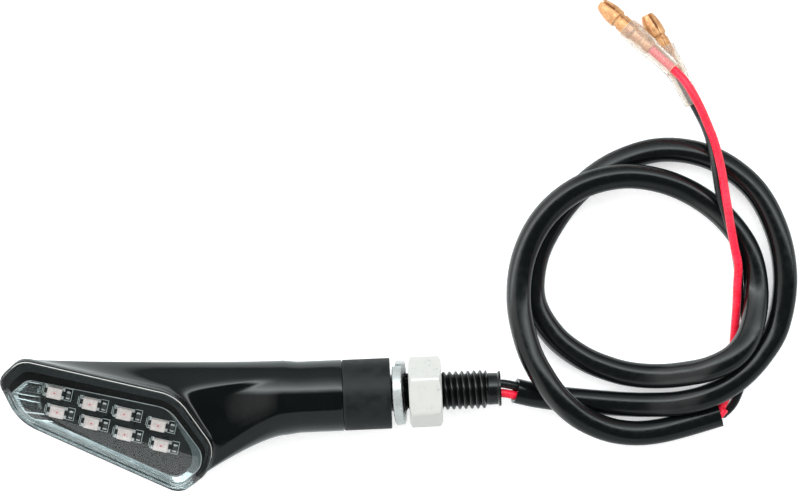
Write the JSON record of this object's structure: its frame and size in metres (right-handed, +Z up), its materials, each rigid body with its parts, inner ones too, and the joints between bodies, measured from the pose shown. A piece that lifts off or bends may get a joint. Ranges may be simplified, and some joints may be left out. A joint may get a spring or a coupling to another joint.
{
  "type": "turn signal indicator",
  "caption": "Wedge-shaped turn signal with a clear lens over a lit board, a flexible stem, a hollow threaded stud with nut and spring washer, and a sleeved lead with bullet connectors.",
  "frame": {"origin": "bottom centre of the rigid lamp (head, stem, stud, nut and washer) without its lead, on the surface it lies on", "axes": "+X along the stud towards its open end, +Z up from the surface the part lies on, lens facing up"},
  "size_m": [0.1648, 0.0975, 0.0177],
  "materials": {
    "housing_gloss": "gloss black",
    "lens_clear": "clear polycarbonate, polished",
    "seal_black": "matt black",
    "bezel_black": "black",
    "reflector_metal": "vacuum metallised",
    "board": "dark solder mask",
    "led_white": "white package",
    "chip_dark": "dark ceramic",
    "solder": "bright solder",
    "wire_red": "red insulation",
    "wire_black": "black insulation",
    "steel": "zinc plated",
    "collar_rubber": "matt black",
    "stud_black": "black coated, glossy",
    "nut_bright": "bright zinc",
    "sleeve_black": "soft glossy black",
    "brass": "bright brass",
    "cover_clear": "milky clear vinyl"
  },
  "bodies": {
    "stud_side": {"stud": "stud_black", "grommet": "seal_black", "cable_sleeve": "sleeve_black", "wire_red": "wire_red", "wire_black": "wire_black", "bullet_red": "brass", "bullet_black": "brass"},
    "flex": {"collar": "collar_rubber"},
    "head": {"housing": "housing_gloss", "lens": "lens_clear", "lens_seal": "seal_black", "bezel": "bezel_black", "reflector": "reflector_metal", "pcb": "board", "led_1": "led_white", "led_2": "led_white", "led_3": "led_white", "led_4": "led_white", "led_5": "led_white", "led_6": "led_white", "led_7": "led_white", "led_8": "led_white", "resistor_1": "chip_dark", "resistor_2": "chip_dark", "resistor_3": "chip_dark", "resistor_4": "chip_dark", "resistor_5": "chip_dark", "resistor_6": "chip_dark", "resistor_7": "chip_dark", "resistor_8": "chip_dark", "diode": "chip_dark", "solder_red": "solder", "solder_black": "solder", "lead_red": "wire_red", "lead_black": "wire_black", "stem_insert": "steel"},
    "washer": {"spring_washer": "steel"},
    "nut": {"hex_nut": "nut_bright"},
    "cover_r": {"cover_red": "cover_clear"},
    "cover_b": {"cover_black": "cover_clear"}
  },
  "joints": [
    {"name": "stem_bend_up", "type": "hinge", "parent": "stud_side", "child": "flex", "pos_m": [0.0261, 0.0039, 0.0074], "axis": [0, 1, 0], "range_deg": [-12, 12], "stiffness_Nm_per_rad": 2, "deforming": ["collar", "lead_red", "lead_black"]},
    {"name": "stem_bend_side", "type": "hinge", "parent": "flex", "child": "head", "pos_m": [0.0212, 0.0039, 0.0074], "axis": [0, 0, 1], "range_deg": [-12, 12], "stiffness_Nm_per_rad": 2, "deforming": ["collar", "lead_red", "lead_black"]},
    {"name": "nut_travel", "type": "slide", "parent": "stud_side", "child": "washer", "axis": [1, 0, 0], "range_m": [0, 0.009]},
    {"name": "nut_turn", "type": "hinge", "parent": "washer", "child": "nut", "pos_m": [0.0357, 0.0039, 0.0074], "axis": [1, 0, 0], "range_deg": [0, 2592]},
    {"name": "cover_red_slide", "type": "slide", "parent": "stud_side", "child": "cover_r", "axis": [0.6836, -0.6929, 0.2294], "range_m": [0, 0.0035]},
    {"name": "cover_black_slide", "type": "slide", "parent": "stud_side", "child": "cover_b", "axis": [0.4297, -0.9029, 0], "range_m": [0, 0.0035]}
  ],
  "couplings": [
    {"joint": "nut_travel", "follows": "nut_turn", "m_per_rad": 0.00019894}
  ]
}
